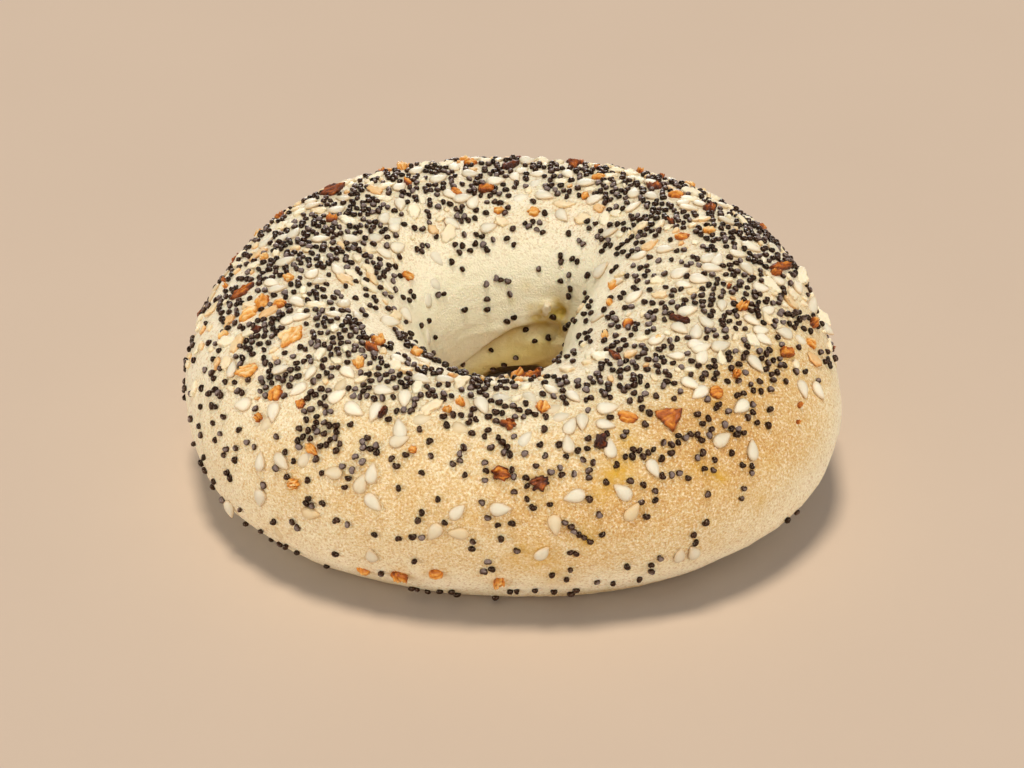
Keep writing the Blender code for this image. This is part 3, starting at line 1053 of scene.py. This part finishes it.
def makeGarlic():
    draw = random.Random(garlic["seed"])
    heap = Heap()

    def lay(point, normal, heading, length, tint, lifted=0.0):
        takeFlat(point, heading, length, length * 0.6)
        lift = (garlic["lift"] + lifted) * mm
        place = lying(point, normal, heading, lift, draw.uniform(-12, 12), draw.uniform(-10, 10))
        heap.add(garlicMould(length, draw), place, tint)

    for x, y, length, turn, tint in garlic["placed"]:
        point, normal = photoSeat(x, y)
        facing, lifted = standing(normal, length * 0.6)
        lay(point, facing, photoHeading(facing, turn), length, tint, lifted)
    for point, normal in looseSeats(garlic, draw):
        length = garlic["smallest"] + (garlic["largest"] - garlic["smallest"]) * draw.random() ** 1.5
        lay(point, normal, anyHeading(normal, draw), length, 0.85 * draw.random() ** 1.5)
    return heap.piece("garlicBits", toppingMaterial("garlic", garlic), "garlic_bit")


makeGarlic()


# Poppy seeds
poppy = {
    "seed": 41,
    "length": 1.22,
    "width": 1.04,
    "height": 0.92,
    "sizes": (0.84, 1.06),
    "sunk": 0.2,
    "edgeOn": 0.3,  # the share that may stand on edge, and how far these and the others are turned
    "edgeTurn": 85,
    "flatTurn": 25,
    "tip": 20,
    # The paler greys are partly seeds of that colour and partly the painted highlight
    "colours": [
        (0.0, srgb(18, 3, 0)), (0.6, srgb(40, 14, 3)), (0.84, srgb(68, 49, 40)), (1.0, srgb(118, 102, 96)),
    ],
    "fleckSize": (0.35, 2),
    "flecks": 0.3,
    # Painted highlight and shade: each seed's top is painted paler and its sides darker
    "rimShade": -0.6,
    "surface": {"roughness": 0.2, "specular": 0.42, "shine": srgb(255, 220, 180)},
    "relief": [((0.35, 2), 0.4, 0.08)],
    "radius": 0.49,  # of the ball that a seed takes up
    "count": 1900,
    "tries": 400000,
    "tubes": (-45, 225),
    "lowest": 1.0,
    "chain": 0.62,  # how often the next seed lies beside the last, how far off in radii, and the turn
    "chainStep": (2.04, 2.5),
    "chainTurn": 70,
    "tubeRadius": 18,
    "mostBeside": 12,  # a seed is surely laid where cover times reach is this much, beside the last or apart
    "mostApart": 28.6,
    "clumpSize": 4.5,
    "clumpGain": 1.6,
    "clumpLevel": 0.6,
    "thinnest": 0.3,
    "cover": 0.29,  # the share of the crown that they hide, and the tube angles where that begins and ends
    "lowEdge": 22,
    "fade": 56,
    "lowBends": [(353, 22, 14), (330, 20, 4), (200, 22, -4), (90, 58, 22)],
    "rimEdge": 140,
    "rimFade": 36,
    "least": 0.012,
    "drifts": [  # ring, tube, ring width, tube width, extra cover
        (222, 96, 26, 12, 0.05), (251, 90, 13, 8, 0.4), (240, 110, 34, 8, -0.4), (288, 119, 20, 9, -0.3),
        (290, 103, 20, 15, -0.26), (270, 92, 12, 10, -0.14), (350, 64, 20, 12, 0.36), (8, 48, 14, 12, 0.14),
        (350, 32, 16, 10, -0.1), (26, 88, 18, 16, -0.16), (8, 106, 12, 8, -0.12), (10, 72, 14, 10, -0.14),
        (24, 124, 24, 10, 0.24), (265, 60, 24, 16, -0.14), (190, 92, 18, 36, -0.13), (30, 64, 14, 9, -0.12),
        (85, 62, 46, 9, -0.22), (110, 88, 12, 8, -0.1), (130, 76, 12, 9, -0.08), (168, 128, 12, 12, 0.16),
        (190, 104, 14, 9, -0.14), (108, 92, 14, 8, -0.12), (130, 88, 8, 8, 0.1), (168, 142, 10, 8, 0.16),
        (188, 42, 14, 18, -0.08), (350, 112, 14, 10, -0.14), (28, 92, 12, 7, -0.14),
        (320, 122, 20, 8, -0.16), (206, 118, 12, 10, -0.12), (50, 105, 12, 25, -0.1), (48, 78, 10, 8, 0.1),
        (88, 76, 12, 8, 0.08), (70, 90, 18, 8, 0.06), (150, 68, 16, 16, -0.14), (305, 102, 10, 10, 0.12),
        (330, 130, 12, 15, 0.12), (70, 125, 30, 14, -0.1), (110, 122, 18, 8, 0.12), (232, 62, 14, 12, 0.12),
        (310, 74, 14, 10, 0.1), (295, 52, 14, 8, 0.06), (330, 72, 10, 8, 0.1), (335, 78, 14, 12, 0.06),
    ],
    "placed": [  # photo places in the hole, then low in front from left to right
        (451, 262), (462, 269), (437, 295), (443, 294), (486, 284), (496, 278), (501, 280), (508, 281),
        (510, 294), (487, 299), (487, 309), (464, 309), (514, 317), (507, 321), (526, 330), (539, 269),
        (561, 256), (562, 262), (573, 259), (578, 262), (570, 275), (561, 281), (589, 276), (571, 289),
        (570, 296), (586, 293), (492, 350), (535, 341), (549, 338), (516, 357), (504, 364), (493, 368),
        (428, 321), (420, 326), (434, 337), (432, 353), (553, 317), (592, 302), (590, 308), (576, 322),
        (587, 322), (585, 315), (592, 314), (580, 337), (586, 334), (588, 339), (566, 328), (574, 352),
        (568, 358), (409, 292), (413, 297), (408, 301), (402, 298), (405, 323), (409, 335), (404, 336),
        (202, 407), (213, 406), (217, 407), (225, 417), (214, 423), (200, 426), (202, 435), (192, 419),
        (240, 430), (221, 434), (216, 440), (192, 444), (248, 442), (255, 447), (256, 409), (277, 437),
        (227, 449), (225, 455), (237, 448), (236, 460), (205, 457), (201, 463), (203, 471), (215, 481),
        (214, 486), (228, 472), (231, 478), (264, 485), (277, 468), (288, 477), (286, 452), (294, 461),
        (317, 459), (308, 480), (323, 473), (300, 429), (299, 441), (300, 447), (307, 420), (312, 410),
        (305, 412), (321, 404), (326, 413), (317, 417), (317, 423), (325, 423), (315, 428), (318, 432),
        (325, 434), (311, 439), (321, 446), (337, 432), (330, 426), (331, 440), (327, 445), (326, 407),
        (331, 412), (337, 426), (304, 437), (309, 431), (336, 438), (340, 444), (337, 451), (351, 425),
        (368, 438), (363, 442), (364, 448), (377, 446), (377, 453), (371, 449), (356, 457), (363, 462),
        (343, 466), (353, 470), (349, 478), (345, 487), (392, 459), (397, 466), (309, 498), (307, 503),
        (313, 505), (323, 503), (337, 520), (348, 524), (293, 521), (298, 527), (274, 521), (262, 530),
        (241, 509), (224, 499), (246, 523), (267, 542), (276, 546), (287, 545), (298, 551), (375, 534),
        (336, 553), (399, 488), (399, 538), (382, 572), (327, 565), (389, 420), (397, 412), (411, 589),
        (416, 590), (427, 592), (440, 590), (452, 590), (457, 594), (430, 442), (422, 473), (431, 456),
        (406, 455), (464, 448), (460, 454), (460, 461), (453, 464), (465, 475), (438, 499), (422, 512),
        (418, 520), (485, 463), (486, 471), (485, 480), (512, 470), (514, 477), (482, 502), (488, 517),
        (498, 525), (512, 523), (501, 538), (517, 550), (445, 522), (413, 536), (422, 537), (415, 560),
        (473, 541), (472, 548), (488, 561), (492, 568), (484, 570), (514, 492), (527, 499), (533, 507),
        (550, 504), (526, 478), (527, 486), (525, 454), (536, 466), (545, 456), (540, 445), (514, 437),
        (507, 448), (502, 443), (498, 438), (504, 453), (510, 455), (491, 448), (485, 437), (488, 431),
        (472, 434), (469, 423), (496, 422), (476, 420), (447, 426), (420, 430), (544, 430), (559, 445),
        (566, 457), (578, 451), (587, 449), (583, 460), (593, 463), (551, 472), (560, 468), (562, 475),
        (574, 474), (589, 471), (589, 478), (589, 499), (565, 522), (571, 526), (574, 531), (579, 534),
        (584, 537), (590, 541), (570, 552), (576, 553), (570, 569), (552, 574), (566, 578), (597, 581),
        (576, 589), (571, 592), (554, 590), (535, 589), (517, 590), (510, 590), (496, 596), (587, 386),
        (586, 391), (602, 392), (605, 396), (610, 398), (608, 390), (620, 387), (624, 391), (628, 388),
        (634, 394), (640, 400), (642, 409), (649, 414), (645, 395), (647, 387), (663, 387), (674, 384),
        (680, 392), (656, 397), (630, 402), (674, 399), (591, 399), (586, 401), (566, 404), (588, 411),
        (610, 418), (645, 425), (626, 432), (623, 437), (607, 434), (588, 439), (697, 415), (708, 419),
        (702, 424), (711, 430), (707, 400), (716, 409), (718, 405), (728, 412), (752, 405), (747, 418),
        (752, 413), (756, 423), (737, 396), (743, 394), (678, 436), (685, 438), (690, 435), (697, 435),
        (701, 440), (709, 436), (663, 443), (671, 445), (678, 443), (653, 450), (633, 450), (639, 451),
        (632, 457), (643, 457), (648, 453), (625, 457), (661, 459), (671, 453), (702, 453), (697, 458),
        (714, 460), (731, 453), (724, 425), (731, 429), (738, 429), (743, 433), (736, 435), (704, 469),
        (713, 470), (688, 478), (679, 473), (662, 476), (671, 475), (616, 465), (606, 482), (630, 481),
        (643, 485), (655, 491), (655, 500), (641, 502), (599, 514), (646, 516), (707, 494), (742, 465),
        (751, 466), (751, 473), (743, 488), (741, 498), (705, 522), (693, 534), (695, 542), (660, 557),
        (651, 564), (651, 570), (627, 565), (602, 534), (639, 578), (613, 582), (709, 368), (715, 367),
        (705, 375), (716, 375), (714, 380), (731, 369), (745, 373), (765, 370), (779, 366), (771, 375),
        (776, 373), (772, 381), (785, 382), (727, 382), (738, 382), (750, 385), (759, 382), (753, 391),
        (760, 392), (770, 390), (795, 372), (804, 372), (817, 381), (769, 410), (767, 426), (797, 512),
        (789, 520),
        # behind the hole
        (429, 217), (429, 223), (422, 230), (457, 217), (464, 217), (461, 222), (468, 221), (475, 219),
        (486, 214), (505, 214), (513, 229), (525, 224), (529, 227), (533, 222), (540, 223), (537, 230),
        (543, 233), (545, 214), (569, 234), (588, 222), (596, 224), (590, 229), (436, 237), (464, 235),
        (476, 235), (482, 237), (493, 240), (455, 245), (462, 246), (475, 244), (483, 245), (487, 250),
        (459, 253), (470, 251), (507, 239), (514, 245), (580, 241), (584, 245), (598, 237), (603, 240),
        (609, 241), (606, 246), (611, 246), (603, 252), (422, 246), (427, 246), (421, 252), (618, 225),
        (407, 203), (401, 215), (427, 212), (430, 206), (438, 208), (443, 203), (450, 205), (456, 210),
        (462, 208), (461, 212), (476, 211), (487, 203), (500, 204), (508, 208), (404, 225), (414, 229),
        (416, 250),
        # right of the hole
        (619, 249), (623, 245), (628, 242), (618, 255), (624, 253), (629, 257), (633, 238), (639, 238),
        (645, 236), (656, 237), (637, 244), (643, 243), (633, 252), (639, 251), (650, 258), (659, 262),
        (613, 272), (617, 268), (634, 267), (641, 269), (647, 267), (648, 272), (628, 277), (636, 277),
        (638, 282), (645, 277), (655, 277), (648, 283), (634, 288), (637, 291), (650, 291), (624, 294),
        (621, 299), (611, 299), (645, 303), (653, 304), (662, 304), (666, 309), (672, 303), (665, 275),
        (666, 288), (674, 292), (681, 290), (672, 297), (685, 301), (678, 308), (694, 298), (695, 304),
        (684, 306), (650, 314), (656, 312), (648, 318), (654, 320), (665, 314), (671, 315), (665, 321),
        (649, 325), (654, 330), (626, 309), (632, 308), (605, 311), (613, 314), (615, 319), (609, 319),
        (617, 322), (612, 326), (619, 328), (637, 325), (629, 329), (636, 330), (631, 336), (606, 334),
        (616, 337), (648, 333), (605, 342), (624, 341), (617, 343), (671, 241), (677, 252), (684, 251),
        (693, 258), (682, 263), (687, 267), (691, 264), (697, 260), (699, 266), (687, 277), (672, 261),
        (677, 340), (688, 339), (670, 342),
    ],
    "handBoxes": [(400, 203, 600, 260), (600, 234, 700, 346)],  # photo boxes without random seeds
}


# The share of the skin that poppy seeds hide here
def poppyCover(ring, tube):
    low = poppy["lowEdge"]
    low += sum(lift * bell(turnFrom(ring, at), width) for at, width, lift in poppy["lowBends"])
    outside = smooth((tube - low) / poppy["fade"])
    inside = smooth((poppy["rimEdge"] - tube) / poppy["rimFade"])
    drift = patchSum(ring, tube, poppy["drifts"]) * min(1, outside * inside * 4)
    return max(poppy["least"], poppy["cover"] * outside * inside + drift)


# Whether this is where poppy seeds are only placed one by one
def poppyByHand(point, normal, tube):
    if placedByHand(point, normal, tube):
        return True
    if not facesCamera(point, normal):
        return False
    x, y = photoPlace(point)
    return any(left <= x < right and top <= y < bottom for left, top, right, bottom in poppy["handBoxes"])


# A kidney shape lying along X, with a notch in its -Y side
def poppyMould(draw):
    bm = bmesh.new()
    upended = Matrix.Rotation(math.radians(90), 4, "Y") @ Matrix.Rotation(math.radians(90), 4, "Z")
    bmesh.ops.create_uvsphere(bm, u_segments=7, v_segments=6, radius=1, matrix=upended)
    bend = draw.uniform(0.1, 0.3)
    notch = draw.uniform(0.0, 0.4)
    lopsided = draw.uniform(-0.18, 0.18)
    for vert in bm.verts:
        x, y, z = vert.co
        y = y * (1 + lopsided * x) + bend * (0.4 - x * x)
        if y < 0.2:
            y += notch * bell(x, 0.3) * min(1.0, 0.2 - y)
        vert.co = Vector((x * poppy["length"], y * poppy["width"], z * poppy["height"])) * mm / 2
    # The rim value grows from the top down the sides, for the painted highlight and shade
    half = poppy["height"] / 2 * mm
    return mouldOf(bm, lambda vert: 1 - smooth(vert.co.z / half))


# A place beside the last seed, and the way that leads there
def nextInChain(last, radius, draw):
    ring, tube, turn = last
    step = draw.uniform(*poppy["chainStep"]) * radius / mm
    turn += draw.gauss(0, poppy["chainTurn"])
    around = math.hypot(*skinPoint(ring, tube).xy) / mm
    ring += math.degrees(step * cosine(turn) / around)
    tube += math.degrees(step * sine(turn) / poppy["tubeRadius"])
    return ring, tube, turn


def makePoppy():
    draw = random.Random(poppy["seed"])
    moulds = [poppyMould(draw) for kind in range(8)]
    heap = Heap()
    radius = poppy["radius"] * mm

    def lay(point, normal):
        room.take(point, radius)
        size = draw.uniform(*poppy["sizes"])
        lift = poppy["height"] * (0.5 - poppy["sunk"] * draw.uniform(0.5, 1.5)) * size * mm
        most = poppy["edgeTurn"] if draw.random() < poppy["edgeOn"] else poppy["flatTurn"]
        roll = draw.uniform(-most, most)
        heading = anyHeading(normal, draw)
        place = lying(point, normal, heading, lift, draw.uniform(-poppy["tip"], poppy["tip"]), roll, size)
        heap.add(draw.choice(moulds), place, draw.random())

    for x, y in poppy["placed"]:
        lay(*photoSeat(x, y))
    laid, tries = 0, 0
    last = None
    while laid < poppy["count"] and tries < poppy["tries"]:
        tries += 1
        beside = last is not None and draw.random() < poppy["chain"]
        if beside:
            ring, tube, turn = nextInChain(last, radius, draw)
        else:
            ring, tube, turn = draw.uniform(0, 360), draw.uniform(*poppy["tubes"]), draw.uniform(0, 360)
        most = poppy["mostBeside"] if beside else poppy["mostApart"]
        if draw.random() * most > poppyCover(ring, tube) * reachAt(tube):
            if beside:
                last = None
            continue
        last = None
        point, normal = skinSeat(ring, tube)
        clump = noise.noise(point / (poppy["clumpSize"] * mm)) * poppy["clumpGain"] + poppy["clumpLevel"]
        if draw.random() > max(poppy["thinnest"], smooth(clump)) or point.z < poppy["lowest"] * mm:
            continue
        if room.free(point, radius) and not poppyByHand(point, normal, tube):
            lay(point, normal)
            last = (ring, tube, turn)
            laid += 1
    print("poppy seeds laid", laid, "in", tries, "tries")
    return heap.piece("poppySeeds", toppingMaterial("poppy", poppy), "poppy_seed")


makePoppy()


# Floor and light
white = (1, 1, 1)
warm = (1, 0.757, 0.508)
overhead = (-0.05, 0.0, 1.0)
studio = {
    "floorSize": 6.0,
    "floorColours": [(0.3, srgb(211, 205, 202)), (0.7, srgb(213, 207, 204))],
    "sky": 0.22,
    "lampDistance": 4.0,
    "lamps": [  # name, what it lights, direction it shines from, width in metres, strength, colour
        ("key", "bagel", overhead, 0.9, 0.5, white),
        ("backdrop light", "floor", overhead, 0.9, 0.755, warm),
        ("shadow fill", "floor", viewBack, 0.9, 0.09, warm),
        ("front fill", "bagel", (0.3, -0.68, 0.64), 1.6, 0.37, white),
        ("low front fill", "bagel", (0.0, -1.0, 0.04), 2.0, 0.26, white),
        ("low left fill", "bagel", (-0.9, -0.35, 0.1), 2.0, 0.58, white),
        ("right fill", "bagel", (0.86, -0.33, 0.38), 2.0, 0.28, white),
        ("back fill", "bagel", (0.0, 1.0, 0.2), 2.0, 0.46, white),
    ],
}


def addLamp(name, lit, direction, width, strength, colour):
    distance = studio["lampDistance"]
    data = bpy.data.lights.new(name, "AREA")
    data.shape = "DISK"
    data.size = width
    data.energy = strength * (math.pi * distance) ** 2
    data.color = colour
    lamp = bpy.data.objects.new(name, data)
    bpy.context.scene.collection.objects.link(lamp)
    lamp.location = Vector(direction).normalized() * distance
    lamp.rotation_euler = lamp.location.to_track_quat("Z", "Y").to_euler()
    lamp.light_linking.receiver_collection = lit


def makeStudio():
    bagelPieces = bpy.data.collections.new("bagel pieces")
    for piece in bpy.context.scene.objects:
        if piece.type == "MESH":
            bagelPieces.objects.link(piece)
    bm = bmesh.new()
    bmesh.ops.create_grid(bm, x_segments=1, y_segments=1, size=studio["floorSize"] / 2)
    mesh = bpy.data.meshes.new("floor")
    bm.to_mesh(mesh)
    bm.free()
    material, tree, shader = newMaterial("backdrop paper")
    setSurface(tree, shader, ramp(tree, noiseTexture(tree, 60, 2), studio["floorColours"]), 0.9, 0.1)
    floor = addObject("floor", mesh, material)
    floor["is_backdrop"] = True
    floorOnly = bpy.data.collections.new("floor only")
    floorOnly.objects.link(floor)
    lit = {"bagel": bagelPieces, "floor": floorOnly}
    for name, lights, *rest in studio["lamps"]:
        addLamp(name, lit[lights], *rest)
    world = bpy.data.worlds.new("studio air")
    bpy.context.scene.world = world
    world.use_nodes = True
    world.node_tree.nodes["Background"].inputs["Color"].default_value = (1, 1, 1, 1)
    world.node_tree.nodes["Background"].inputs["Strength"].default_value = studio["sky"]
    bpy.context.scene.view_settings.view_transform = "Standard"


makeStudio()
print("floor and light made")

[[list(corner) for corner in box] for box in (cadBox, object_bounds())]
